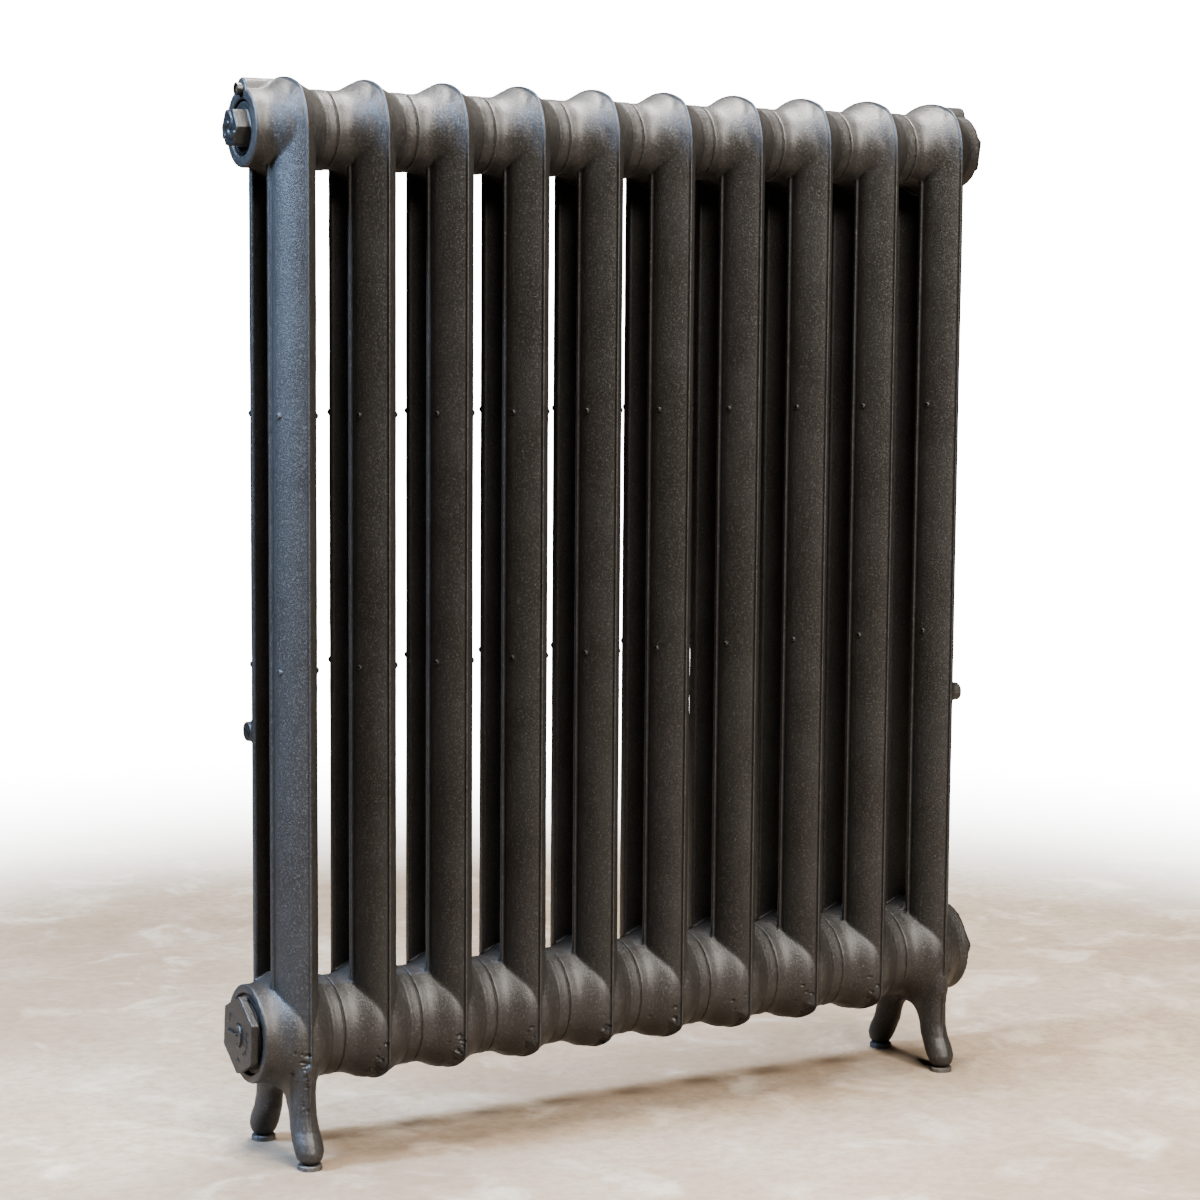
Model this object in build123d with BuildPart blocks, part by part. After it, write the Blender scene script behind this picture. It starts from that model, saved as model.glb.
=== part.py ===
"""A ten-section, two-column cast iron radiator on four cast legs.

Frame: X runs along the radiator, -Y is the front, +Z is up.  The origin is on the floor under the
middle of the radiator.  Every section is a hollow casting with an upper and a lower hub whose axes
run along X; neighbouring hubs are pulled together on threaded nipples with a gasket between them.
The two end sections also have legs, a vent lug and a tapped side boss, and stand half a turn about
Z from each other.  Threads are plain cylinders at their outside size.
"""

from build123d import *
import math
import os

# Driving dimensions, in millimetres and degrees.
section_count = 10
section_pitch = 76.2
gasket_thickness = 0.8
foot_to_hub = 114.3
hub_centres = 796.15
head_rise = 44.1
toe_drop = 51.0

column_nose = 55.9
column_half_width = 20.3
column_flat = 16.5
column_shoulder = 0.7
column_bulge = 0.57
nose_round = 5.0
lip_half_width = 22.3
lip_depth = 4.5
rib_stand = 1.25
rib_root = 3.0
rib_half_width = 1.1
casting_wall = 5.0
head_arc, head_corner = 95.0, 20.0
toe_arc, toe_corner = 90.0, 5.0

upper_collar, lower_collar = 34.6, 44.5
collar_length = 6.7
upper_crown, lower_crown = 1.0, 5.0
upper_swell, lower_swell = 13.0, 10.3
upper_room, lower_room = 29.0, 36.0
thread_length = 18.0
thread_clearance = 0.05
upper_thread, lower_thread = 20.95, 23.9
gasket_rim = 1.2
nipple_wall = 4.4
nipple_lug = (5.0, 3.0)

leg_stations = (
    # height, distance from the middle plane, half width along X, half depth along Y
    (4.5, 52.5, 8.5, 8.5),
    (9.0, 53.0, 10.8, 10.8),
    (16.0, 52.0, 12.3, 12.5),
    (24.0, 48.5, 12.6, 13.0),
    (34.0, 42.8, 12.0, 13.2),
    (46.0, 39.2, 11.5, 14.0),
    (66.0, 36.5, 11.0, 17.0),
    (95.0, 34.0, 8.0, 15.0),
)
arch_radius = 22.0
arch_top = 57.0
arch_half_thickness = 9.0
arch_half_width = 34.0
pad_distance = 52.0
pad_radius = 11.0
pad_chamfer = 0.8

vent_height = 33.0
vent_lug = 10.5
vent_thread = 4.86
vent_depth = 20.0
vent_root = 4.0
vent_stub = 5.3
vent_reach = 5.0
vent_well = 6.0
vent_mouth = 3.6
vent_passage = 1.2
key_square = 4.0
bleed_collar = 7.0
bleed_play = 0.08
side_boss_y = 38.0
side_boss = 9.0
side_boss_x = 20.5
side_tapping = 6.5
side_plug_length = 9.0
screw_slot = 1.6
screw_slot_turn = -20

upper_counterbore, upper_counterbore_depth = 24.0, 5.5
lower_recess, lower_recess_depth = 36.0, 3.0
seal_thickness = 1.2
upper_seal_room, lower_seal_room = 0.8, 4.0
face_gap = 0.05
plug_wall = 4.5
plug_chamfer = 0.8
# Hexagons: across flats, start and end outwards of the hub's face, turn of a corner above the front.
tall_hexagon = (31.5, -1.8, 11.4, 0.0)
upper_plate = (48.0, 1.6, 8.4, 19.6)
lower_left_plate = (63.0, 2.5, 8.9, 25.5)
lower_right_plate = (63.0, 2.5, 9.8, 8.0)
tall_flange, plate_flange, lower_flange = 22.5, 22.5, 31.0
mark_outer, mark_inner, mark_height = 8.0, 5.6, 1.2
boss_outer, boss_height = 10.5, 2.3

# Places worked out from them.
half_section = (section_pitch - gasket_thickness) / 2
low_hub = foot_to_hub
high_hub = foot_to_hub + hub_centres
end_face = (section_count - 1) / 2 * section_pitch + half_section
side_boss_height = low_hub + hub_centres / 3
pad_thickness = leg_stations[0][0]
section_places = [(index - (section_count - 1) / 2) * section_pitch for index in range(section_count)]
joint_places = [place + section_pitch / 2 for place in section_places[:-1]]


def write(part, name):
    """Label a finished piece and write it as its own STEP file."""
    part.label = name
    export_step(part, "parts/" + name + ".step")


def column_plan(height, inset, lip):
    """Plan of both columns: rounded gothic noses outwards, flat backs that face each other."""
    nose = column_nose - inset
    flat = column_flat + inset
    width = column_half_width - inset
    shoulder = (width, -flat - lip_depth)
    with BuildSketch(Plane.XY.offset(height)) as plan:
        with BuildLine():
            bulge = (column_shoulder * width, -flat - column_bulge * (nose - flat))
            ThreePointArc((0, -nose), bulge, shoulder)
            if lip:
                Polyline(shoulder, (lip_half_width, shoulder[1]), (lip_half_width, -flat), (0, -flat))
            else:
                Polyline(shoulder, (width, -flat), (0, -flat))
            mirror(about=Plane.YZ)
        make_face()
        fillet(plan.vertices().sort_by(Axis.Y)[0], radius=nose_round)
        mirror(about=Plane.XZ)
    return plan.sketch


def end_curve(arc_radius, corner_radius, tip, way, flank):
    """Points of one half of an arched end: arc middle, arc end, corner middle and corner end."""
    centre = tip - way * arc_radius
    corner_y = flank - corner_radius
    corner_z = math.sqrt((arc_radius - corner_radius) ** 2 - corner_y**2)
    lean = math.atan2(corner_z, corner_y)
    middle = (lean + math.pi / 2) / 2
    return (
        (arc_radius * math.cos(middle), centre + way * arc_radius * math.sin(middle)),
        (arc_radius * math.cos(lean), centre + way * arc_radius * math.sin(lean)),
        (
            corner_y + corner_radius * math.cos(lean / 2),
            centre + way * (corner_z + corner_radius * math.sin(lean / 2)),
        ),
        (flank, centre + way * corner_z),
    )


def side_outline(grow):
    """The section seen along X: straight flanks between an arched head and an arched toe."""
    flank = column_nose + grow
    head_tip = high_hub + head_rise + grow
    toe_tip = low_hub - toe_drop - grow
    head_middle, head_meet, head_bend, head_end = end_curve(
        head_arc + grow, head_corner + grow, head_tip, 1, flank
    )
    toe_middle, toe_meet, toe_bend, toe_end = end_curve(
        toe_arc + grow, toe_corner + grow, toe_tip, -1, flank
    )
    with BuildSketch(Plane.YZ) as outline:
        with BuildLine():
            ThreePointArc((0, head_tip), head_middle, head_meet)
            ThreePointArc(head_meet, head_bend, head_end)
            Line(head_end, toe_end)
            ThreePointArc(toe_end, toe_bend, toe_meet)
            ThreePointArc(toe_meet, toe_middle, (0, toe_tip))
            mirror(about=Plane.YZ)
        make_face()
    return outline.sketch


def column_end(hub_height, reach, way):
    """The solid that closes the columns over the upper hub (way 1) or under the lower hub (-1)."""
    taper = column_nose - column_flat - lip_depth
    fall = (1 - column_bulge) * (column_nose - column_flat)
    shoulder_x = column_shoulder * column_half_width
    tip = hub_height + way * reach
    with BuildPart() as dome:
        extrude(side_outline(0), amount=column_half_width, both=True)
        with BuildSketch(Plane.XY.offset(hub_height)) as plan:
            with BuildLine():
                waist = (column_half_width, -column_flat - lip_depth)
                ThreePointArc((0, -column_nose), (shoulder_x, -column_nose + fall), waist)
                Polyline(waist, (column_half_width, 0), (0, 0))
                mirror(about=Plane.YZ)
            make_face()
            fillet(plan.vertices().sort_by(Axis.Y)[0], radius=nose_round)
            mirror(about=Plane.XZ)
        extrude(amount=way * (reach + rib_stand), mode=Mode.INTERSECT)
        with BuildSketch(Plane.XZ) as front:
            with BuildLine():
                edge = (column_half_width, tip - way * taper)
                ThreePointArc((0, tip), (shoulder_x, tip - way * (1 - column_bulge) * taper), edge)
                Polyline(edge, (column_half_width, hub_height), (0, hub_height))
                mirror(about=Plane.YZ)
            make_face()
            fillet(front.vertices().sort_by(Axis.Y)[-1 if way > 0 else 0], radius=nose_round)
        extrude(amount=column_nose, both=True, mode=Mode.INTERSECT)
    return dome.part


def hub_barrel(height, collar, swell, crown):
    """A hub: a plain collar at each end and a bell that swells to its level crown, cut to the outline."""
    with BuildPart() as barrel:
        with BuildSketch(Plane.XZ):
            with BuildLine():
                collar_end = (-half_section + collar_length, height + collar)
                top = (-crown, height + collar + swell)
                Polyline((-half_section, height), (-half_section, height + collar), collar_end)
                Spline(collar_end, top, tangents=((1, 0), (1, 0)))
                Line(top, (0, top[1]))
                mirror(about=Plane.YZ)
                Line((-half_section, height), (half_section, height))
            make_face()
        revolve(axis=Axis((0, 0, height), (1, 0, 0)))
        extrude(side_outline(0), amount=half_section, both=True, mode=Mode.INTERSECT)
    return barrel.part


def legs():
    """The two legs of an end casting and the arched web between their tops."""
    with BuildPart() as pair:
        for side in (-1, 1):
            for height, distance, half_width, half_depth in leg_stations:
                with BuildSketch(Plane.XY.offset(height)):
                    with Locations((0, side * distance)):
                        Ellipse(half_width, half_depth)
            loft()
        with BuildSketch(Plane.YZ):
            with Locations((0, arch_top)):
                Rectangle(2 * arch_half_width, arch_radius)
            with Locations((0, arch_top - arch_radius)):
                Circle(arch_radius, mode=Mode.SUBTRACT)
        extrude(amount=arch_half_thickness, both=True)
    return pair.part


def parting_rib():
    """The thin rib that the mould's parting leaves all round the section's outline."""
    with BuildPart() as rib:
        extrude(side_outline(rib_stand), amount=rib_half_width, both=True)
        extrude(side_outline(-rib_root), amount=rib_half_width, both=True, mode=Mode.SUBTRACT)
    return rib.part


def section(is_end=False, has_vent=False):
    """One hollow casting, in the middle of the frame; an end casting's outer side is -X."""
    with BuildPart() as casting:
        extrude(column_plan(low_hub, 0, lip=True), amount=hub_centres)
        add(column_end(high_hub, head_rise, 1))
        add(column_end(low_hub, toe_drop, -1))
        add(parting_rib())
        add(hub_barrel(high_hub, upper_collar, upper_swell, upper_crown))
        add(hub_barrel(low_hub, lower_collar, lower_swell, lower_crown))
        if is_end:
            add(legs())
            with BuildSketch(Plane.YZ.offset(-half_section)):
                with Locations((0, high_hub + vent_height)):
                    Circle(vent_lug)
            extrude(amount=half_section - rib_half_width)
            with BuildSketch(Plane.YZ.offset(-side_boss_x)):
                with Locations((side_boss_y, side_boss_height)):
                    Circle(side_boss)
            extrude(amount=side_boss_x / 2)

        # Waterway: both columns, the two hub rooms, and a threaded bore through each collar.
        extrude(column_plan(low_hub, casting_wall, lip=False), amount=hub_centres, mode=Mode.SUBTRACT)
        with BuildSketch(Plane.YZ):
            with Locations((0, high_hub)):
                Circle(upper_room)
            with Locations((0, low_hub)):
                Circle(lower_room)
        extrude(amount=half_section - thread_length, both=True, mode=Mode.SUBTRACT)
        with BuildSketch(Plane.YZ):
            with Locations((0, high_hub)):
                Circle(upper_thread + thread_clearance)
            with Locations((0, low_hub)):
                Circle(lower_thread + thread_clearance)
        extrude(amount=half_section, both=True, mode=Mode.SUBTRACT)
        if is_end:
            with BuildSketch(Plane.YZ.offset(-half_section)):
                with Locations((0, high_hub)):
                    Circle(upper_counterbore)
            extrude(amount=upper_counterbore_depth, mode=Mode.SUBTRACT)
            with BuildSketch(Plane.YZ.offset(-half_section)):
                with Locations((0, low_hub)):
                    Circle(lower_recess)
            extrude(amount=lower_recess_depth, mode=Mode.SUBTRACT)
            with BuildSketch(Plane.YZ.offset(-side_boss_x)):
                with Locations((side_boss_y, side_boss_height)):
                    Circle(side_tapping)
            extrude(amount=side_boss_x, mode=Mode.SUBTRACT)
        if has_vent:
            with BuildSketch(Plane.YZ.offset(-half_section)):
                with Locations((0, high_hub + vent_height)):
                    Circle(vent_thread)
            extrude(amount=vent_depth, mode=Mode.SUBTRACT)
    return casting.part


def nipple(place, height, thread):
    """A threaded nipple across a joint, with two lugs inside for the assembly key."""
    with BuildPart() as sleeve:
        with BuildSketch(Plane.YZ.offset(place)):
            with Locations((0, height)):
                Circle(thread)
                Circle(thread - nipple_wall, mode=Mode.SUBTRACT)
            with Locations((thread - nipple_wall, height), (nipple_wall - thread, height)):
                Rectangle(*nipple_lug)
        extrude(amount=thread_length - gasket_thickness, both=True)
    return sleeve.part


def gasket(place, height, thread, collar):
    """The flat joint ring between two collars."""
    with BuildPart() as ring:
        with BuildSketch(Plane.YZ.offset(place)):
            with Locations((0, height)):
                Circle(collar - gasket_rim)
                Circle(thread + gasket_thickness / 2, mode=Mode.SUBTRACT)
        extrude(amount=gasket_thickness / 2, both=True)
    return ring.part


def hub_mouth(side, height):
    """A plane on an outer hub face: local z points outwards, local y up."""
    return Plane(origin=(side * end_face, 0, height), x_dir=(0, side, 0), z_dir=(side, 0, 0))


def plug_body(mouth, hexagon, seat, flange, thread, mark):
    """A hollow screwed plug: thread, round flange, hexagon head and a raised mark on its face.

    mark is (outer radius, inner radius, height); an inner radius of 0 makes it a plain boss.
    """
    across_flats, start, end, turn = hexagon
    side = -1 if mouth.z_dir.X < 0 else 1
    with BuildPart() as plug:
        with BuildSketch(mouth.offset(-thread_length)):
            Circle(thread)
        extrude(amount=thread_length + seat)
        with BuildSketch(mouth.offset(seat)):
            Circle(flange)
        extrude(amount=start - seat)
        with BuildSketch(mouth.offset(start)):
            RegularPolygon(across_flats / 2, 6, major_radius=False, rotation=-side * turn)
        extrude(amount=end - start)
        outward = Axis(mouth.origin, mouth.z_dir)
        chamfer(plug.faces().sort_by(outward)[-1].edges(), length=plug_chamfer)
        with BuildSketch(mouth.offset(-thread_length)):
            Circle(thread - plug_wall)
        extrude(amount=thread_length - plug_wall, mode=Mode.SUBTRACT)
        outer, inner, height = mark
        with BuildSketch(mouth.offset(end)):
            Circle(outer)
            if inner:
                Circle(inner, mode=Mode.SUBTRACT)
        extrude(amount=height)
    return plug.part


def upper_plug(side):
    """Plug of an upper hub: a tall hexagon on the left, a flatter plate on the right."""
    seat = -upper_counterbore_depth + seal_thickness + face_gap
    hexagon, flange = (tall_hexagon, tall_flange) if side < 0 else (upper_plate, plate_flange)
    mark = (mark_outer, mark_inner, mark_height)
    return plug_body(hub_mouth(side, high_hub), hexagon, seat, flange, upper_thread, mark)


def lower_plug(side):
    """Plug of a lower hub: a broad hexagon plate held off the hub by a round flange."""
    seat = -lower_recess_depth + seal_thickness + face_gap
    hexagon = lower_left_plate if side < 0 else lower_right_plate
    mark = (boss_outer, 0, boss_height)
    return plug_body(hub_mouth(side, low_hub), hexagon, seat, lower_flange, lower_thread, mark)


def seal(side, height, bed, thread, outer):
    """The sealing ring under a plug's flange; bed is how deep its seat lies in the hub."""
    mouth = hub_mouth(side, height)
    with BuildPart() as ring:
        with BuildSketch(mouth.offset(-bed)):
            Circle(outer)
            Circle(thread + 2 * thread_clearance, mode=Mode.SUBTRACT)
        extrude(amount=seal_thickness)
    return ring.part


def vent_body(mouth):
    """The vent's stub: threaded into the lug, open at its outer end for the key."""
    with BuildPart() as body:
        with BuildSketch(mouth.offset(-vent_depth + vent_root)):
            Circle(vent_thread - thread_clearance)
        extrude(amount=vent_depth - vent_root)
        with BuildSketch(mouth):
            Circle(vent_stub)
        extrude(amount=vent_reach)
        with BuildSketch(mouth.offset(-vent_well)):
            Circle(vent_mouth)
        extrude(amount=vent_reach + vent_well, mode=Mode.SUBTRACT)
        with BuildSketch(mouth.offset(-vent_depth)):
            Circle(vent_passage)
        extrude(amount=vent_depth, mode=Mode.SUBTRACT)
    return body.part


def bleed_screw(mouth):
    """The screw inside the stub, with a square end for the bleed key."""
    with BuildPart() as screw:
        with BuildSketch(mouth.offset(-vent_well + face_gap)):
            Circle(vent_mouth - bleed_play)
        extrude(amount=bleed_collar)
        with BuildSketch(mouth.offset(bleed_collar - vent_well)):
            Rectangle(key_square, key_square)
        extrude(amount=vent_reach - 2 * (bleed_collar - vent_well))
    return screw.part


def side_plug(side):
    """The slotted plug in an end section's side boss, flush with the boss."""
    face = section_places[0] if side < 0 else section_places[-1]
    mouth = Plane(
        origin=(face + side * side_boss_x, -side * side_boss_y, side_boss_height),
        x_dir=(0, side, 0),
        z_dir=(side, 0, 0),
    )
    with BuildPart() as plug:
        with BuildSketch(mouth.offset(-side_plug_length)):
            Circle(side_tapping - thread_clearance)
        extrude(amount=side_plug_length)
        with BuildSketch(mouth.offset(-screw_slot)):
            Rectangle(2 * side_tapping, screw_slot, rotation=screw_slot_turn)
        extrude(amount=screw_slot, mode=Mode.SUBTRACT)
    return plug.part


if __name__ == "__main__":
    os.makedirs("parts", exist_ok=True)

    middle_section = section()
    left_section = section(is_end=True, has_vent=True)
    right_section = section(is_end=True)
    for index, place in enumerate(section_places, start=1):
        name = f"section_{index:02d}"
        if index == 1:
            write(Pos(place, 0, 0) * left_section, name)
        elif index == section_count:
            write(Pos(place, 0, 0) * Rot(0, 0, 180) * right_section, name)
        else:
            write(Pos(place, 0, 0) * middle_section, name)

    for index, place in enumerate(joint_places, start=1):
        write(nipple(place, high_hub, upper_thread), f"top_nipple_{index:02d}")
        write(nipple(place, low_hub, lower_thread), f"bottom_nipple_{index:02d}")
        write(gasket(place, high_hub, upper_thread, upper_collar), f"top_gasket_{index:02d}")
        write(gasket(place, low_hub, lower_thread, lower_collar), f"bottom_gasket_{index:02d}")

    for side, word in ((-1, "left"), (1, "right")):
        write(upper_plug(side), f"top_{word}_plug")
        rim = upper_counterbore - upper_seal_room
        write(seal(side, high_hub, upper_counterbore_depth, upper_thread, rim), f"top_{word}_seal")
        write(lower_plug(side), f"bottom_{word}_plug")
        rim = lower_recess - lower_seal_room
        write(seal(side, low_hub, lower_recess_depth, lower_thread, rim), f"bottom_{word}_seal")
        write(side_plug(side), f"side_boss_plug_{word}")

    vent_mouth_plane = hub_mouth(-1, high_hub + vent_height)
    write(vent_body(vent_mouth_plane), "air_vent_body")
    write(bleed_screw(vent_mouth_plane), "bleed_screw")

    with BuildPart() as foot_pads:
        with BuildSketch():
            with GridLocations(section_places[-1] - section_places[0], 2 * pad_distance, 2, 2):
                Circle(pad_radius)
        extrude(amount=pad_thickness)
        chamfer(foot_pads.edges().group_by(Axis.Z)[-1], length=pad_chamfer)
    write(foot_pads.part, "foot_pads")
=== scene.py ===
"""The looks of a ten-section cast iron radiator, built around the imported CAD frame.

The section castings are meshed from a distance field, so that hubs, columns, legs and lugs melt into
each other the way a sand casting does.  Lengths inside a field are in millimetres, everything that
reaches Blender is in metres.
"""

import math

import bpy
import numpy as np
from mathutils import Matrix, Vector


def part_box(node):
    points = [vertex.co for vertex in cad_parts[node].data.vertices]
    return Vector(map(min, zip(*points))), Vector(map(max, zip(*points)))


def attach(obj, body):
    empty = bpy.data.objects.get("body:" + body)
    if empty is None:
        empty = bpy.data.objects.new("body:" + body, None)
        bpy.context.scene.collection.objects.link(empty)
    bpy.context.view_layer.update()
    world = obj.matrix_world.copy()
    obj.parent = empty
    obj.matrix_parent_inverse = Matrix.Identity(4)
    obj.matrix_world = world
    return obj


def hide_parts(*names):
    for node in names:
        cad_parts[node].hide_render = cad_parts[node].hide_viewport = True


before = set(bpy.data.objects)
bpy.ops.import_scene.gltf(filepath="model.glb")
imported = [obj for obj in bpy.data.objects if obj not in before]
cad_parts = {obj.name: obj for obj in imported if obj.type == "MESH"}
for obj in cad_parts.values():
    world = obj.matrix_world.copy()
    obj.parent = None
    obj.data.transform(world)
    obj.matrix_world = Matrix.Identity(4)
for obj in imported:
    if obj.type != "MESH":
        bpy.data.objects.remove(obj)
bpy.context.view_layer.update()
MM = 0.001


# ---------------------------------------------------------------- places, read from the frame

def box_mm(node):
    """A CAD node's lowest and highest corners in millimetres."""
    low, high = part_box(node)
    return np.array(low) / MM, np.array(high) / MM


def middle(node, axis):
    """The middle of a CAD node's box along one axis, in millimetres."""
    low, high = box_mm(node)
    return (low[axis] + high[axis]) / 2


SECTIONS = sorted(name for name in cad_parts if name.startswith("section_"))
# How far the parting rib stands proud of a casting, and a collar of its gasket.
RIB_STAND = 1.25
GASKET_RIM = 1.2
low_corner, high_corner = box_mm("section_02")
HALF_SECTION = (high_corner[0] - low_corner[0]) / 2
NOSE = high_corner[1] - RIB_STAND
HEAD_TIP = high_corner[2] - RIB_STAND
TOE_TIP = low_corner[2] + RIB_STAND
HIGH_HUB = middle("top_gasket_01", 2)
LOW_HUB = middle("bottom_gasket_01", 2)
HIGH_COLLAR = box_mm("top_gasket_01")[1][1] + GASKET_RIM
LOW_COLLAR = box_mm("bottom_gasket_01")[1][1] + GASKET_RIM
PAD_TOP = box_mm("foot_pads")[1][2]
VENT_RISE = middle("air_vent_body", 2)
BOSS_Y = middle("side_boss_plug_left", 1)
BOSS_RISE = middle("side_boss_plug_left", 2)
BOSS_FACE = middle("section_01", 0) - box_mm("side_boss_plug_left")[0][0]
END_FACE = box_mm("section_10")[1][0]


# ---------------------------------------------------------------- distance fields, in millimetres

def melt(a, b, width):
    """Union of two fields with a fillet about as wide as width."""
    near = np.maximum(width - np.abs(a - b), 0) / width
    return np.minimum(a, b) - near * near * width * 0.25


def carve(a, b, width):
    """Field a with field b cut away, the rim of the cut rounded by width."""
    return -melt(-a, b, width)


def rounded_meet(a, b, radius):
    """Intersection of two fields with a true round of this radius."""
    outside = np.hypot(np.maximum(a + radius, 0), np.maximum(b + radius, 0))
    return np.minimum(-radius, np.maximum(a, b)) + outside


def smooth_step(low, high, value):
    """0 at low, 1 at high, easy at both ends."""
    t = np.clip((value - low) / (high - low), 0, 1)
    return t * t * (3 - 2 * t)


# The outline seen from the end: an arc over the head and one under the toe, with round shoulders.
HEAD_ARC, HEAD_CORNER = 95.0, 20.0
TOE_ARC, TOE_CORNER = 90.0, 5.0
# A column: its half widths at the slot and at its widest, and the arc that bulges its flank.
COLUMN_FLAT, COLUMN_WIDE = 16.5, 20.3
BULGE_X, BULGE_DEPTH, BULGE_RADIUS = -35.2, 43.9, 56.3
LIP_WIDE, LIP_DEEP = 22.1, 4.6
# A hub's bell: its half length, and its upward swell, forward swell and peakedness.
BELL_LENGTH = 31.0
HIGH_BELL, LOW_BELL = (9.5, 14.0, 1.3), (9.2, 10.6, 1.0)
FRONT_CROWN = 5.0
COLLAR_STEP, COLLAR_LAND = 0.6, 10.5
THREAD_HIGH, THREAD_LOW = 20.95, 23.9
# A leg from its foot up: heights, distances from the middle, and half sizes along X and Y.
LEG_HEIGHTS = (4.5, 9.0, 16.0, 24.0, 34.0, 46.0, 66.0, 80.0, 96.0, 110.0)
LEG_DISTANCES = (52.3, 52.3, 50.5, 46.7, 40.6, 37.0, 35.5, 36.0, 34.0, 32.0)
LEG_HALF_WIDTHS = (10.8, 11.4, 13.4, 13.6, 12.6, 11.8, 11.4, 12.0, 9.0, 4.0)
LEG_HALF_DEPTHS = (10.6, 11.5, 14.0, 14.8, 15.4, 16.2, 18.0, 19.0, 17.0, 8.0)
ARCH_TOP, ARCH_SLOPE, ARCH_ROUND, WEB_HALF = 60.5, 0.35, 5.0, 8.5
WEB_REACH, WEB_TOP = 34, 84
LEG_RIB_FROM, LEG_RIB_FOOT = 40, 14
CHAPLET_X, CHAPLET_Y = 18.0, 31.0
CHAPLET_HEIGHTS = (441.0, 663.7)
CHAPLET_RING, CHAPLET_BEAD = 1.7, 0.95
# Details of an end casting: lug, boss, and the radius and depth of each machined hollow.
VENT_LUG = 10.5
SIDE_BOSS = 9.0
PLUG_SEAT = (24.0, 5.5)
PLUG_RECESS = (36.0, 3.0)
SIDE_TAPPING = (6.5, 12)


def outline_field(y, z):
    """Distance to the section's outline seen from its end, negative inside."""
    head = np.hypot(y, np.maximum(z - (HEAD_TIP - HEAD_ARC), 0)) - HEAD_ARC
    toe = np.hypot(y, np.maximum(TOE_TIP + TOE_ARC - z, 0)) - TOE_ARC
    flank = np.abs(y) - NOSE
    return np.maximum(rounded_meet(flank, head, HEAD_CORNER), rounded_meet(flank, toe, TOE_CORNER))


def between_hubs(z):
    """Negative between the two hub axes."""
    return np.maximum(z - HIGH_HUB, LOW_HUB - z)


def column_field(x, y, z, outline):
    """Front and rear columns, joined over the head and under the toe, with their lips."""
    depth = -outline
    side = np.sqrt(x * x + 1.2) - 0.5
    drop = np.minimum(depth, BULGE_DEPTH) - BULGE_DEPTH
    body = np.hypot(side - BULGE_X, drop) - BULGE_RADIUS
    body = np.maximum(body, -depth)
    body = rounded_meet(body, np.abs(x) - COLUMN_WIDE, 2.0)
    slot = np.maximum(np.abs(y) - COLUMN_FLAT, between_hubs(z))
    body = carve(body, slot, 1.0)
    lip_middle = COLUMN_FLAT + LIP_DEEP / 2
    lip = rounded_meet(np.abs(x) - LIP_WIDE, np.abs(np.abs(y) - lip_middle) - LIP_DEEP / 2, 1.0)
    lip = np.maximum(lip, between_hubs(z))
    return melt(body, lip, 2.5)


def bell_field(x, y, z, hub, collar, bell, ring_side):
    """A hub: a bell that swells from each joint to its middle, fuller in front than on top.

    bell is how far it swells upwards and forwards, and how peaked it is seen from the front.
    """
    upwards, forwards, peaked = bell
    front = y * y / (y * y + (z - hub) ** 2 + 1)
    swell = upwards + (forwards - upwards) * front
    rise = BELL_LENGTH - FRONT_CROWN * front
    along = np.clip((BELL_LENGTH - np.abs(x)) / rise, 0, 1) * math.pi
    wave = (1 - np.cos(along)) / 2
    radius = collar + swell * wave ** (1 + (peaked - 1) * (1 - front))
    climb = swell * math.pi / (2 * rise) * np.sin(along)
    ring_from = HALF_SECTION - COLLAR_LAND
    radius = radius + COLLAR_STEP * smooth_step(ring_from - 0.6, ring_from, x * ring_side)
    return (np.hypot(y, z - hub) - radius) / np.sqrt(1 + climb**2)


def legs_field(x, y, z):
    """Both legs of an end casting, waisted, splayed and bulbous, and the arched web between them."""
    distance = np.interp(z, LEG_HEIGHTS, LEG_DISTANCES)
    half_width = np.interp(z, LEG_HEIGHTS, LEG_HALF_WIDTHS)
    half_depth = np.interp(z, LEG_HEIGHTS, LEG_HALF_DEPTHS)
    limb = (np.hypot(x / half_width, (np.abs(y) - distance) / half_depth) - 1) * half_width
    limb = rounded_meet(limb, PAD_TOP - z, 6.5)
    limb = np.maximum(limb, z - LEG_HEIGHTS[-1])
    fall = ARCH_SLOPE * (np.hypot(y, ARCH_ROUND) - ARCH_ROUND)
    web = rounded_meet(np.abs(x) - WEB_HALF, (ARCH_TOP - fall - z) * 0.86, 5.0)
    web = np.maximum(web, np.maximum(np.abs(y) - WEB_REACH, z - WEB_TOP))
    return melt(limb, web, 9.0)


def rib_field(x, surface, stand):
    """The parting rib: a thin plate in the middle plane, standing a little proud of a surface."""
    return rounded_meet(np.abs(x) - 1.1, surface - stand, 0.6)


def chaplet_field(x, y, z, height):
    """The raised rings that the core's supports leave on the columns' flanks."""
    off_axis = np.hypot((np.abs(y) - CHAPLET_Y) * 0.8, z - height)
    from_surface = np.abs(np.abs(x) - CHAPLET_X) * 0.8
    return np.hypot(off_axis - CHAPLET_RING, from_surface) - CHAPLET_BEAD


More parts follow.
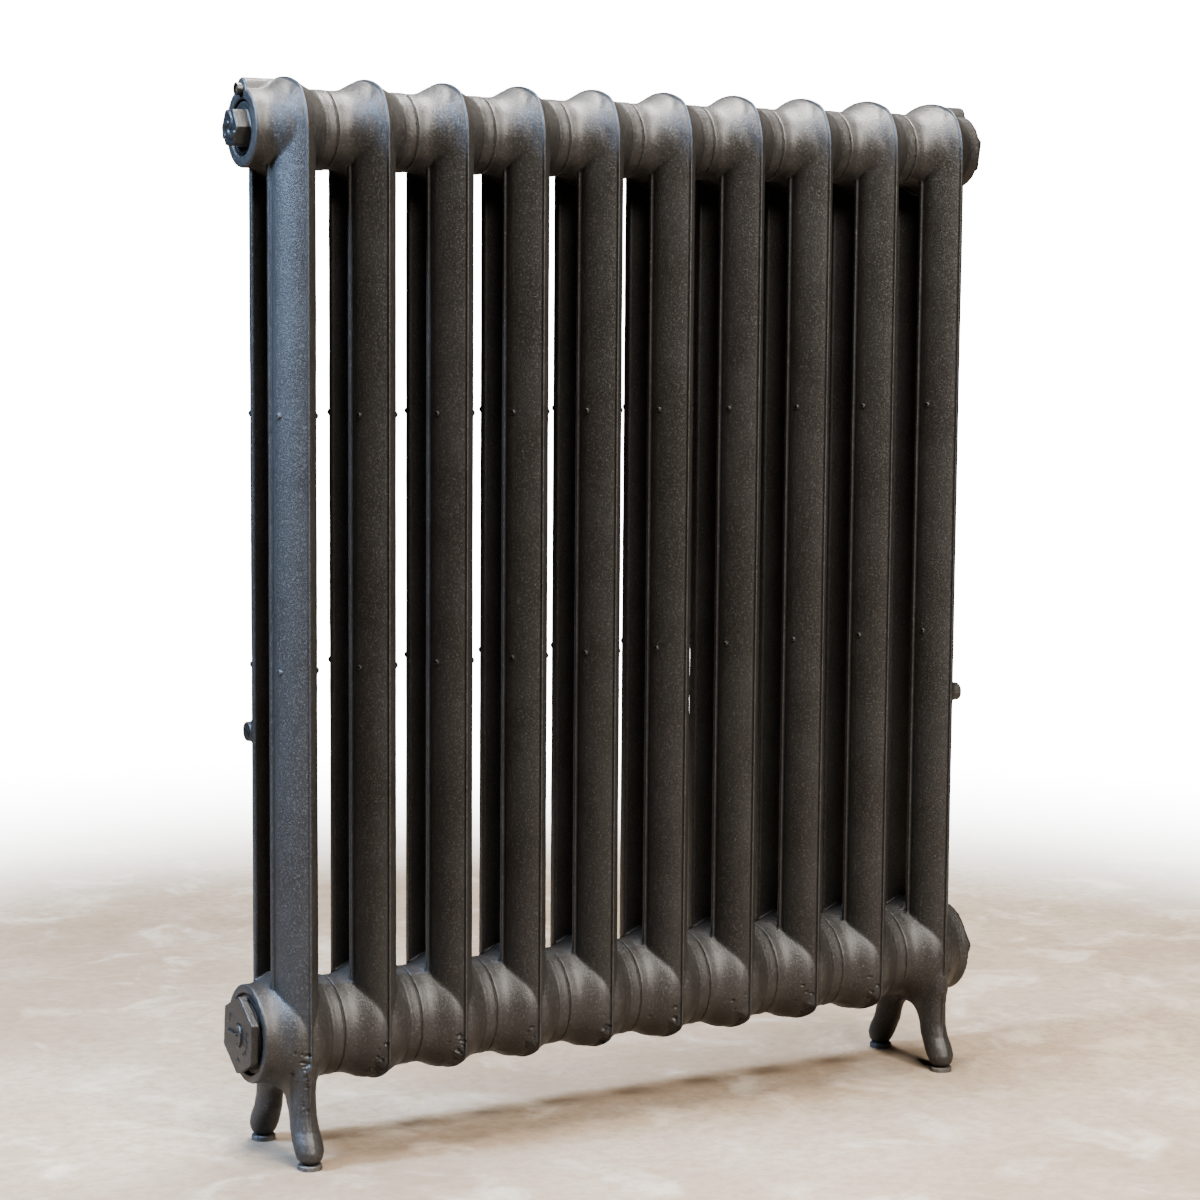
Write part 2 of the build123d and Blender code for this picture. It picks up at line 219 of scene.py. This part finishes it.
def casting_field(x, y, z, is_end, ring_side):
    """A whole section casting, its middle plane at x = 0 and its outer side towards -x."""
    outline = outline_field(y, z)
    bells = np.minimum(
        bell_field(x, y, z, HIGH_HUB, HIGH_COLLAR, HIGH_BELL, ring_side),
        bell_field(x, y, z, LOW_HUB, LOW_COLLAR, LOW_BELL, ring_side),
    )
    solid = melt(column_field(x, y, z, outline), rounded_meet(bells, outline, 1.5), 1.4)
    rib = np.maximum(rib_field(x, outline, RIB_STAND), -outline - 5)
    if is_end:
        legs = legs_field(x, y, z)
        solid = melt(solid, legs, 8.0)
        stand = 0.9 * smooth_step(24, 62, z)
        outside = np.maximum(LEG_RIB_FROM - np.abs(y), z - LOW_HUB)
        leg_rib = np.maximum(rib_field(x, legs, stand), outside)
        rib = np.minimum(rib, np.maximum(leg_rib, PAD_TOP + LEG_RIB_FOOT - z))
        lug = np.maximum(np.hypot(y, z - VENT_RISE) - VENT_LUG, x - 2)
        solid = melt(solid, rounded_meet(lug, outline, 2.0), 1.5)
        boss = np.hypot(y - BOSS_Y, z - BOSS_RISE) - SIDE_BOSS
        boss = rounded_meet(np.maximum(boss, x + 6), -BOSS_FACE - x, 0.9)
        solid = melt(solid, boss, 2.0)
    for height in CHAPLET_HEIGHTS:
        solid = melt(solid, chaplet_field(x, y, z, height), 0.7)
    solid = melt(solid, rib, 0.8)
    solid = rounded_meet(solid, x - HALF_SECTION, 0.45)
    solid = rounded_meet(solid, -x - HALF_SECTION, 2.0 if is_end else 0.45)
    for hub, thread in ((HIGH_HUB, THREAD_HIGH), (LOW_HUB, THREAD_LOW)):
        solid = np.maximum(solid, thread - np.hypot(y, z - hub))
    if is_end:
        for (radius, depth), across in (
            (PLUG_SEAT, np.hypot(y, z - HIGH_HUB)),
            (PLUG_RECESS, np.hypot(y, z - LOW_HUB)),
        ):
            solid = np.maximum(solid, -np.maximum(across - radius, x + HALF_SECTION - depth))
        radius, end = SIDE_TAPPING
        tapping = np.maximum(np.hypot(y - BOSS_Y, z - BOSS_RISE) - radius, x + end)
        solid = np.maximum(solid, -tapping)
    return solid


# ---------------------------------------------------------------- meshing a field

def stretch(*runs):
    """Grid lines from (start, end, step) runs laid end to end."""
    lines = []
    for start, end, step in runs:
        count = max(1, round((end - start) / step))
        lines.extend(start + (end - start) * i / count for i in range(count))
    lines.append(runs[-1][1])
    return np.array(lines)


def surface_net(axes, values):
    """Vertices and quads of the zero surface on a rectilinear grid, one vertex in each mixed cell."""
    shape = tuple(n - 1 for n in values.shape)
    total = np.zeros((3, shape[0] * shape[1] * shape[2]))
    count = np.zeros(shape[0] * shape[1] * shape[2])
    edges = []
    for axis in range(3):
        one, two = (axis + 1) % 3, (axis + 2) % 3
        first = np.take(values, range(shape[axis]), axis)
        second = np.take(values, range(1, shape[axis] + 1), axis)
        place = np.array(np.nonzero((first < 0) != (second < 0)))
        a, b = first[tuple(place)], second[tuple(place)]
        point = [axes[k][place[k]] for k in range(3)]
        spacing = axes[axis][place[axis] + 1] - axes[axis][place[axis]]
        point[axis] = point[axis] + a / (a - b) * spacing
        corners = []
        for shift_one, shift_two in ((1, 1), (0, 1), (0, 0), (1, 0)):
            cell = place.copy()
            cell[one] -= shift_one
            cell[two] -= shift_two
            inside = (cell[one] >= 0) & (cell[two] >= 0)
            inside &= (cell[one] < shape[one]) & (cell[two] < shape[two])
            nearest = np.clip(cell.T, 0, np.array(shape) - 1).T
            flat = np.where(inside, np.ravel_multi_index(tuple(nearest), shape), -1)
            corners.append(flat)
            for k in range(3):
                total[k] += np.bincount(flat[inside], point[k][inside], len(count))
            count += np.bincount(flat[inside], minlength=len(count))
        quads = np.array(corners).T
        quads = np.where((a < 0)[:, None], quads, quads[:, ::-1])
        edges.append(quads[(quads >= 0).all(1)])
    used = count > 0
    index = np.cumsum(used) - 1
    vertices = (total[:, used] / count[used]).T
    return vertices, index[np.concatenate(edges)]


def slope(field, points, step=0.05):
    """A field's gradient at points, by central differences."""
    gradient = np.empty_like(points)
    for k in range(3):
        ahead, behind = points.copy(), points.copy()
        ahead[:, k] += step
        behind[:, k] -= step
        gradient[:, k] = (field(*ahead.T) - field(*behind.T)) / (2 * step)
    return gradient


def settle(field, points, rounds=3, most=0.7):
    """Move points onto the field's zero surface."""
    for _ in range(rounds):
        gradient = slope(field, points)
        length = np.maximum((gradient**2).sum(1), 0.2)
        move = (field(*points.T) / length)[:, None] * gradient
        size = np.maximum(np.linalg.norm(move, axis=1), 1e-9)
        points = points - move * np.minimum(1, most / size)[:, None]
    return points


def lattice_noise(points, scale, seed):
    """Smooth noise between -1 and 1 with features about scale millimetres wide."""
    cells = 32
    table = np.random.default_rng(seed).uniform(-1, 1, (cells, cells, cells))
    place = points / scale
    base = np.floor(place).astype(int)
    part = place - base
    part = part * part * (3 - 2 * part)
    result = np.zeros(len(points))
    for corner in np.ndindex(2, 2, 2):
        weight = np.prod(np.where(np.array(corner) == 1, part, 1 - part), axis=1)
        i, j, k = ((base + corner) % cells).T
        result += weight * table[i, j, k]
    return result


def section_lines(is_end):
    """Grid lines for a casting: close together at the hubs, rib and lips, far apart along the columns."""
    side = HALF_SECTION + 0.5
    x_lines = stretch((-side, -15.0, 1.6), (-15.0, -2.4, 0.9), (-2.4, 2.4, 0.6), (2.4, side, 1.6))
    half_y = stretch((0, 15.0, 1.8), (15.0, 22.5, 0.95), (22.5, 54.0, 1.8), (54.0, 66.0, 1.2))
    y_lines = np.concatenate([-half_y[:0:-1], half_y])
    bottom = PAD_TOP - 1.2 if is_end else TOE_TIP - 3
    runs = [(bottom, LOW_HUB - 46, 1.6), (LOW_HUB - 46, LOW_HUB - 6, 0.9), (LOW_HUB - 6, LOW_HUB + 62, 1.7)]
    if is_end:
        runs += [(LOW_HUB + 62, BOSS_RISE - 13, 7.0), (BOSS_RISE - 13, BOSS_RISE + 13, 1.6)]
    for height in CHAPLET_HEIGHTS:
        runs += [(runs[-1][1], height - 4, 7.0), (height - 4, height + 4, 0.8)]
    runs += [(runs[-1][1], HIGH_HUB - 50, 7.0), (HIGH_HUB - 50, HEAD_TIP + 3, 1.7)]
    return x_lines, y_lines, stretch(*runs)


def field_mesh(field, lines):
    """The zero surface of a field: vertices set exactly on it, and quads."""
    x, y, z = lines
    values = field(x[:, None, None], y[None, :, None], z[None, None, :])
    vertices, quads = surface_net(lines, values)
    return settle(field, vertices), quads


# ---------------------------------------------------------------- cast surfaces

# Waves, dents and grain of the cast skin, each with its width and half its depth.
CAST_SKIN = ((34.0, 0.16), (9.0, 0.08), (3.6, 0.06))
# The first castings have many gas holes, the others few.
PITTED_CASTINGS = 3
PIT_LINE, PIT_DROP = 50.0, 22


def roughness_of_cast(points, seed):
    """How far a sand-cast surface lies below its ideal shape at each point, in millimetres."""
    depth = np.zeros(len(points))
    for layer, (width, share) in enumerate(CAST_SKIN):
        depth += share * (lattice_noise(points, width, seed + layer) - 1)
    return depth


def blow_holes(points, seed, is_end):
    """Depth of the small gas holes that gather near the foot of a column, in millimetres."""
    chance = np.random.default_rng(500 + seed)
    depth = np.zeros(len(points))
    for side in (-1, 1):
        count = chance.integers(16, 34) if seed <= PITTED_CASTINGS else chance.integers(2, 12)
        centres = np.stack([
            -chance.gamma(2.0, 3.0, count) - 1.5,
            side * np.full(count, PIT_LINE),
            LOW_HUB - 8 - chance.uniform(0, 34, count),
        ], axis=1)
        if is_end:
            centres[: count // 3, 2] -= PIT_DROP
        for centre, width in zip(centres, chance.uniform(0.9, 2.6, count)):
            flat = (points - centre) * [1, 0, 1]
            near = np.hypot(flat[:, 0] / width, flat[:, 2] / (width * chance.uniform(0.6, 1.3)))
            outside = (points[:, 1] * side > 30) & (near < 1)
            depth[outside] += -0.75 * width * (1 - near[outside] ** 2) ** 1.5
    return np.maximum(depth, -1.8)


def edge_measure(field, points):
    """The field's Laplacian, about twice the mean curvature in 1/mm: above 0 on outside edges."""
    step = 1.2
    total = np.zeros(len(points))
    here = field(*points.T)
    for k in range(3):
        ahead, behind = points.copy(), points.copy()
        ahead[:, k] += step
        behind[:, k] -= step
        total += field(*ahead.T) + field(*behind.T) - 2 * here
    return total / step**2


def cast_piece(name, node, shape, place, turned, material, seed):
    """One painted casting: the ideal mesh, roughened, and moved to its place."""
    points, quads, field, is_end = shape
    normal = slope(field, points)
    normal /= np.maximum(np.linalg.norm(normal, axis=1), 1e-6)[:, None]
    edges = edge_measure(field, points)
    machined = np.abs(points[:, 0]) > HALF_SECTION - 0.6
    depth = roughness_of_cast(points + [0, 0, 97.0 * seed], seed) + blow_holes(points, seed, is_end)
    depth = np.where(machined, 0, depth)
    points = points + normal * depth[:, None]
    if turned:
        points = points * [-1, -1, 1]
    piece = new_piece(name, (points + [place, 0, 0]) * MM, quads, material)
    wear = piece.data.attributes.new("edge", "FLOAT", "POINT")
    wear.data.foreach_set("value", edges)
    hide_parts(node)
    return piece


def new_piece(name, vertices, faces, material, body="root"):
    """A mesh object that rides on a body and takes a material slot."""
    mesh = bpy.data.meshes.new(name)
    mesh.from_pydata(vertices.tolist(), [], faces.tolist())
    mesh.materials.append(material)
    mesh.shade_smooth()
    piece = bpy.data.objects.new(name, mesh)
    bpy.context.scene.collection.objects.link(piece)
    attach(piece, body)
    return piece


# ---------------------------------------------------------------- materials

class Nodes:
    """A small helper that adds and links shader nodes."""

    def __init__(self, name):
        self.material = bpy.data.materials.new(name)
        self.material.use_nodes = True
        self.tree = self.material.node_tree
        self.shader = self.tree.nodes["Principled BSDF"]

    def add(self, kind, inputs=(), **settings):
        node = self.tree.nodes.new(kind)
        for key, value in settings.items():
            setattr(node, key, value)
        for key, value in dict(inputs).items():
            self.plug(value, node.inputs[key])
        return node

    def plug(self, value, socket):
        if isinstance(value, bpy.types.NodeSocket):
            self.tree.links.new(value, socket)
        else:
            socket.default_value = value

    def noise(self, scale_mm, detail=3.0, rough=0.55, distortion=0.0):
        """Noise with features about scale_mm across, in the frame's own coordinates."""
        place = self.add("ShaderNodeTexCoord").outputs["Object"]
        inputs = {"Vector": place, "Scale": 1 / (scale_mm * MM), "Detail": detail, "Roughness": rough}
        inputs["Distortion"] = distortion
        return self.add("ShaderNodeTexNoise", inputs).outputs["Fac"]

    def ramp(self, value, low, high, to_low=0.0, to_high=1.0):
        """A smooth step of a value from one range to another."""
        inputs = {"Value": value, "From Min": low, "From Max": high, "To Min": to_low, "To Max": to_high}
        return self.add("ShaderNodeMapRange", inputs, interpolation_type="SMOOTHSTEP").outputs["Result"]

    def math(self, operation, a, b):
        return self.add("ShaderNodeMath", {0: a, 1: b}, operation=operation).outputs[0]

    def blend(self, amount, a, b):
        """A colour between a and b."""
        node = self.add("ShaderNodeMix", data_type="RGBA")
        self.plug(amount, node.inputs["Factor"])
        self.plug(a, node.inputs[6])
        self.plug(b, node.inputs[7])
        return node.outputs[2]

    def bump(self, layers):
        """Stacked bumps from (height, distance in mm, strength)."""
        normal = None
        for height, distance, strength in layers:
            inputs = {"Height": height, "Distance": distance * MM, "Strength": strength}
            if normal is not None:
                inputs["Normal"] = normal
            normal = self.add("ShaderNodeBump", inputs).outputs["Normal"]
        return normal

    def finish(self, **inputs):
        for key, value in inputs.items():
            self.plug(value, self.shader.inputs[key.replace("_", " ")])
        return self.material


def grey(value, warmth=0.0):
    """A colour near grey; warmth above 0 leans to brown, below 0 to blue."""
    return (value * (1 + warmth), value, value * (1 - warmth), 1.0)


def iron_paint(name, light=1.0, gloss=0.0):
    """Anthracite paint over sand-cast iron: sandy grain, lighter edges that are partly rubbed paint and
    partly a painted edge highlight, and painted shade in creases and pits.
    """
    n = Nodes(name)
    edge = n.add("ShaderNodeAttribute", attribute_name="edge").outputs["Fac"]
    cloud = n.ramp(n.noise(60.0, 4.0), 0.35, 0.65)
    sand = n.noise(2.0, 3.0, 0.75)
    grain = n.noise(1.1, 2.0, 0.6)
    base = n.blend(cloud, grey(0.019 * light, 0.12), grey(0.026 * light, 0.08))
    base = n.blend(n.ramp(sand, 0.50, 0.70, 0.0, 0.7), base, grey(0.065 * light, 0.06))
    # Lighter convex edges: partly rubbed-through paint, partly a painted edge highlight on the ribs and
    # rims.
    wear_and_edge_highlight = n.math("MULTIPLY", n.ramp(edge, 0.5, 1.3), n.ramp(n.noise(7.0, 3.0), 0.35, 0.65, 0.0, 0.35))
    base = n.blend(wear_and_edge_highlight, base, grey(0.07, 0.05))
    # Painted shade: creases and the gas pits in them are darkened almost to black.
    painted_crease_shade = n.ramp(edge, -0.05, -0.35)
    base = n.blend(n.math("MULTIPLY", painted_crease_shade, 0.7), base, grey(0.008, 0.05))
    rough = n.math("ADD", n.ramp(sand, 0.3, 0.7, 0.40, 0.56), -gloss)
    normal = n.bump([(sand, 0.6, 0.55), (grain, 0.3, 0.45)])
    return n.finish(Base_Color=base, Roughness=rough, Metallic=0.25, Normal=normal)


def plain_material(name, colour, second, rough, metallic, scale_mm, bump):
    """A small part's material: two close colours in clouds, with fine grain in its roughness and bump."""
    n = Nodes(name)
    cloud = n.ramp(n.noise(scale_mm, 4.0), 0.35, 0.65)
    base = n.blend(cloud, colour, second)
    fine = n.noise(scale_mm / 12, 3.0)
    return n.finish(
        Base_Color=base,
        Roughness=n.ramp(fine, 0.3, 0.7, rough - 0.08, rough + 0.08),
        Metallic=metallic,
        Normal=n.bump([(fine, bump, 0.5)]),
    )


# Brightness of the white surroundings: as the camera sees them, and as light on everything else.
BACKDROP, FILL = 8.0, 0.0


def floor_material():
    """Pale worn concrete near the object, running out into plain white further away."""
    n = Nodes("pale_floor")
    patch = n.ramp(n.noise(420.0, 5.0, 0.6), 0.35, 0.65)
    fine = n.noise(14.0, 6.0, 0.75)
    stain = n.ramp(n.noise(90.0, 5.0, 0.65, 0.6), 0.50, 0.72)
    base = n.blend(patch, (0.20, 0.147, 0.10, 1), (0.275, 0.22, 0.163, 1))
    base = n.blend(n.ramp(fine, 0.35, 0.7, 0.0, 0.55), base, (0.15, 0.10, 0.06, 1))
    base = n.blend(n.math("MULTIPLY", stain, 0.6), base, (0.37, 0.325, 0.265, 1))
    n.finish(Base_Color=base, Roughness=0.75, Normal=n.bump([(fine, 2.0, 0.4)]))
    place = n.add("ShaderNodeTexCoord").outputs["Object"]
    far = n.add("ShaderNodeVectorMath", {0: place}, operation="LENGTH").outputs["Value"]
    seen = n.add("ShaderNodeLightPath").outputs["Is Camera Ray"]
    glow = n.ramp(seen, 0.0, 1.0, FILL, BACKDROP)
    white = n.add("ShaderNodeEmission", {"Color": (1, 1, 1, 1), "Strength": glow})
    mix = n.add("ShaderNodeMixShader", {"Fac": n.ramp(far, 1.0, 2.2)})
    output = n.tree.nodes["Material Output"]
    n.plug(n.shader.outputs["BSDF"], mix.inputs[1])
    n.plug(white.outputs["Emission"], mix.inputs[2])
    n.plug(mix.outputs["Shader"], output.inputs["Surface"])
    return n.material


# ---------------------------------------------------------------- sections

paint = iron_paint("painted_iron")


def section_shape(is_end, ring_side):
    """The ideal mesh of one kind of casting, with the field it came from."""

    def field(x, y, z):
        return casting_field(x, y, z, is_end, ring_side)

    points, quads = field_mesh(field, section_lines(is_end))
    return points, quads, field, is_end


middle_shape = section_shape(False, 1)
shapes = [section_shape(True, 1)] + [middle_shape] * (len(SECTIONS) - 2) + [section_shape(True, -1)]
for number, (node, shape) in enumerate(zip(SECTIONS, shapes), start=1):
    is_last = number == len(SECTIONS)
    name = f"casting_{number:02d}"
    cast_piece(name, node, shape, middle(node, 0), is_last, paint, number)


# ---------------------------------------------------------------- screwed plugs

def hexagon_field(y, z, across_flats, turn):
    """A regular hexagon about the X axis, a corner turned above the front by turn degrees."""
    faces = [math.radians(turn + 30 + 60 * k) for k in range(3)]
    return np.max([np.abs(-y * math.cos(a) + z * math.sin(a)) for a in faces], axis=0) - across_flats / 2


def stroke_field(y, z, points, half_width):
    """A raised stroke in a plug's face, along a row of points."""
    nearest = math.inf
    for (y1, z1), (y2, z2) in zip(points, points[1:]):
        run = np.array([y2 - y1, z2 - z1])
        t = np.clip(((y - y1) * run[0] + (z - z1) * run[1]) / (run @ run), 0, 1)
        gap = np.hypot(y - y1 - t * run[0], z - z1 - t * run[1]) - half_width
        nearest = np.minimum(nearest, gap)
    return nearest


def arc_points(radius, start, end, spiral=0.0, count=9):
    """Points along an arc, in degrees from the front upwards; spiral widens it along the way."""
    points = []
    for i in range(count):
        angle = math.radians(start + (end - start) * i / (count - 1))
        reach = radius + spiral * i / (count - 1)
        points.append((-reach * math.cos(angle), reach * math.sin(angle)))
    return points


THREAD_PITCH, THREAD_DEPTH, THREAD_LENGTH = 2.3, 0.35, 18.0


def plug_field(u, y, z, plan):
    """A screwed plug: u runs outwards from the hub's face, y and z from its axis."""
    round_gap = np.hypot(y, z)
    ridges = THREAD_DEPTH * np.abs(np.sin(u * math.pi / THREAD_PITCH))
    thread = np.maximum(round_gap - plan["thread"] + ridges, u - plan["seat"])
    flange = rounded_meet(round_gap - plan["flange"], u - plan["start"] - 0.3, 0.7)
    flange = np.maximum(flange, plan["seat"] - u)
    head = hexagon_field(y, z, plan["across_flats"] - plan["draft"] * (u - plan["start"]), plan["turn"])
    head = rounded_meet(head, round_gap - plan["corner"], 0.8)
    head = rounded_meet(head, u - plan["end"], plan["edge"])
    head = np.maximum(head, plan["start"] - 0.5 - u)
    solid = melt(np.minimum(thread, flange), head, 0.8)
    for points, half_width, height in plan["marks"]:
        stroke = stroke_field(y, z, points, half_width)
        stroke = rounded_meet(stroke, u - plan["end"] - height, 0.6)
        solid = melt(solid, np.maximum(stroke, plan["end"] - 2 - u), 0.9)
    return np.maximum(solid, -THREAD_LENGTH - u)


# Plain raised marks for the plugs' faces: each stroke has its points, half width and height.
SWIRL = [(arc_points(4.5, a, a + 85, 8.0), 2.3, 1.15) for a in (10, 130, 250)]
RING_AND_BAR = [(arc_points(9.5, -85, 85), 1.6, 1.9), ([(1.0, 0.5), (20.0, 0.5)], 1.2, 1.9)]
DASH_PLACES = ((20.0, 8), (21.0, -9), (20.0, -24), (21.5, -39),
               (19.0, -54), (22.0, -92), (21.0, 150), (23.0, 135))
DASHES = [(arc_points(radius, start, start + 8, 1.5 - 3 * (start % 2), 3), 0.8, 0.8)
          for radius, start in DASH_PLACES]
# Each plug's plan, in millimetres from the hub's face outwards; turn is the hexagon's, in degrees.
PLUGS = {
    "top_left_plug": dict(thread=20.6, flange=22.5, seat=-3.0, start=-1.8, end=11.4, across_flats=31.5,
                          turn=0.0, corner=17.4, edge=1.6, draft=0.05, marks=SWIRL),
    "top_right_plug": dict(thread=20.6, flange=22.5, seat=-3.0, start=1.6, end=8.4, across_flats=48.0,
                           turn=19.6, corner=27.2, edge=0.9, draft=0.05, marks=SWIRL),
    "bottom_left_plug": dict(thread=23.6, flange=31.0, seat=-1.7, start=2.5, end=8.9, across_flats=63.0,
                             turn=25.5, corner=35.9, edge=1.0, draft=0.08, marks=RING_AND_BAR + DASHES),
    "bottom_right_plug": dict(thread=23.6, flange=31.0, seat=-1.7, start=2.5, end=9.8, across_flats=63.0,
                              turn=8.0, corner=35.9, edge=1.0, draft=0.08, marks=RING_AND_BAR + DASHES),
}
# A darker copy of the iron paint on the plugs: painted shade that holds down the window light on their end
# faces.
plug_paint_with_painted_shade = iron_paint("painted_plug", 0.62, 0.05)


def screwed_plug(node, plan, seed):
    """A detailed plug that stands for its CAD node and rides on the same body."""
    side = -1 if "left" in node else 1
    hub = HIGH_HUB if "top" in node else LOW_HUB

    def field(u, y, z):
        return plug_field(u, y, z, plan)

    reach = max(plan["corner"], plan["flange"]) + 1.2
    step = 0.8 if reach < 25 else 1.0
    across = stretch((-reach, reach, step))
    out = stretch((-THREAD_LENGTH - 0.6, plan["seat"] - 1, 1.2), (plan["seat"] - 1, plan["end"] + 3, 0.6))
    points, quads = field_mesh(field, (out, across, across))
    edges = edge_measure(field, points)
    normal = slope(field, points)
    rough = 0.05 * (lattice_noise(points, 3.0, seed) - 1)
    rough = rough + 0.07 * (lattice_noise(points, 11.0, seed + 1) - 1)
    points = points + normal * rough[:, None]
    placed = np.stack([side * (END_FACE + points[:, 0]), points[:, 1], points[:, 2] + hub], axis=1)
    if side < 0:
        quads = quads[:, ::-1]
    piece = new_piece("screwed_" + node, placed * MM, quads, plug_paint_with_painted_shade, node)
    piece.data.attributes.new("edge", "FLOAT", "POINT").data.foreach_set("value", edges)
    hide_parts(node)


for seed, (node, plan) in enumerate(PLUGS.items(), start=70):
    screwed_plug(node, plan, seed)


# ---------------------------------------------------------------- carried-over CAD nodes

iron = plain_material("bare_iron", grey(0.11, 0.2), grey(0.16, 0.1), 0.5, 0.8, 12.0, 0.1)
rubber = plain_material("joint_rubber", grey(0.012), grey(0.02), 0.75, 0.0, 8.0, 0.1)
vent_steel = plain_material("vent_metal", grey(0.05), grey(0.09), 0.35, 0.8, 4.0, 0.05)
brass = plain_material("vent_brass", (0.34, 0.24, 0.10, 1), (0.22, 0.15, 0.07, 1), 0.4, 0.9, 4.0, 0.05)
pad_steel = plain_material("pad_metal", grey(0.05, 0.10), grey(0.09, 0.08), 0.6, 0.4, 5.0, 0.2)
# The material for each word in a node's name.
FINISHES = (("nipple", iron), ("gasket", rubber), ("seal", rubber), ("air_vent", vent_steel),
            ("bleed", brass), ("pads", pad_steel), ("plug", plug_paint_with_painted_shade))
for name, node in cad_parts.items():
    for word, material in FINISHES:
        if word in name:
            for slot in node.material_slots:
                slot.material = material


# ---------------------------------------------------------------- floor, lights and camera

def area_light(name, place, aim, size, power, colour):
    """A soft rectangular light at place, turned towards aim."""
    lamp = bpy.data.lights.new(name, "AREA")
    lamp.shape = "RECTANGLE"
    lamp.size, lamp.size_y = size
    lamp.energy = power
    lamp.color = colour
    light = bpy.data.objects.new(name, lamp)
    light.location = place
    light.rotation_euler = (Vector(aim) - Vector(place)).to_track_quat("-Z", "Y").to_euler()
    bpy.context.scene.collection.objects.link(light)


def stage_floor():
    """A broad plain floor."""
    mesh = bpy.data.meshes.new("floor")
    reach = 12.0
    corners = [(-reach, -reach, 0), (reach, -reach, 0), (reach, reach, 0), (-reach, reach, 0)]
    mesh.from_pydata(corners, [], [(0, 1, 2, 3)])
    mesh.materials.append(floor_material())
    floor = bpy.data.objects.new("floor", mesh)
    bpy.context.scene.collection.objects.link(floor)


def camera():
    """A long lens at the photograph's viewing angle."""
    lens = bpy.data.cameras.new("camera")
    lens.lens, lens.sensor_width = 87.48, 36.0
    lens.clip_end = 60.0
    view = bpy.data.objects.new("camera", lens)
    place = (-1.36099, -2.35572, 0.78602)
    yaw, pitch, roll = 0.5166, -0.1106, 0.0075
    turn = (Matrix.Rotation(-yaw, 4, "Z") @ Matrix.Rotation(math.pi / 2 + pitch, 4, "X")
            @ Matrix.Rotation(roll, 4, "Z"))
    view.matrix_world = Matrix.Translation(place) @ turn
    bpy.context.scene.collection.objects.link(view)
    bpy.context.scene.camera = view


stage_floor()
camera()
area_light("window", (-2.1, 0.17, 1.9), (-0.38, 0, 0.9), (0.32, 0.8), 240.0, (0.47, 0.67, 1.0))
area_light("sky", (-0.1, 0.15, 3.1), (0, 0, 0.6), (2.0, 0.8), 300.0, (1.0, 0.98, 0.95))
area_light("key", (-0.15, -2.3, 3.1), (0, 0, 0.6), (2.0, 0.8), 270.0, (1.0, 0.97, 0.94))
area_light("front", (0.5, -5.0, 2.4), (0, 0, 0.45), (0.7, 1.7), 300.0, (1.0, 0.93, 0.86))


def studio_world():
    """A white backdrop that only the camera sees, and a photograph's contrast."""
    world = bpy.data.worlds.new("studio")
    world.use_nodes = True
    tree = world.node_tree
    ray = tree.nodes.new("ShaderNodeLightPath")
    strength = tree.nodes.new("ShaderNodeMapRange")
    strength.inputs["To Min"].default_value = FILL
    strength.inputs["To Max"].default_value = BACKDROP
    tree.links.new(ray.outputs["Is Camera Ray"], strength.inputs["Value"])
    background = tree.nodes["Background"]
    background.inputs["Color"].default_value = (1.0, 1.0, 1.0, 1.0)
    tree.links.new(strength.outputs["Result"], background.inputs["Strength"])
    bpy.context.scene.world = world
    bpy.context.scene.view_settings.look = "AgX - Medium High Contrast"


studio_world()
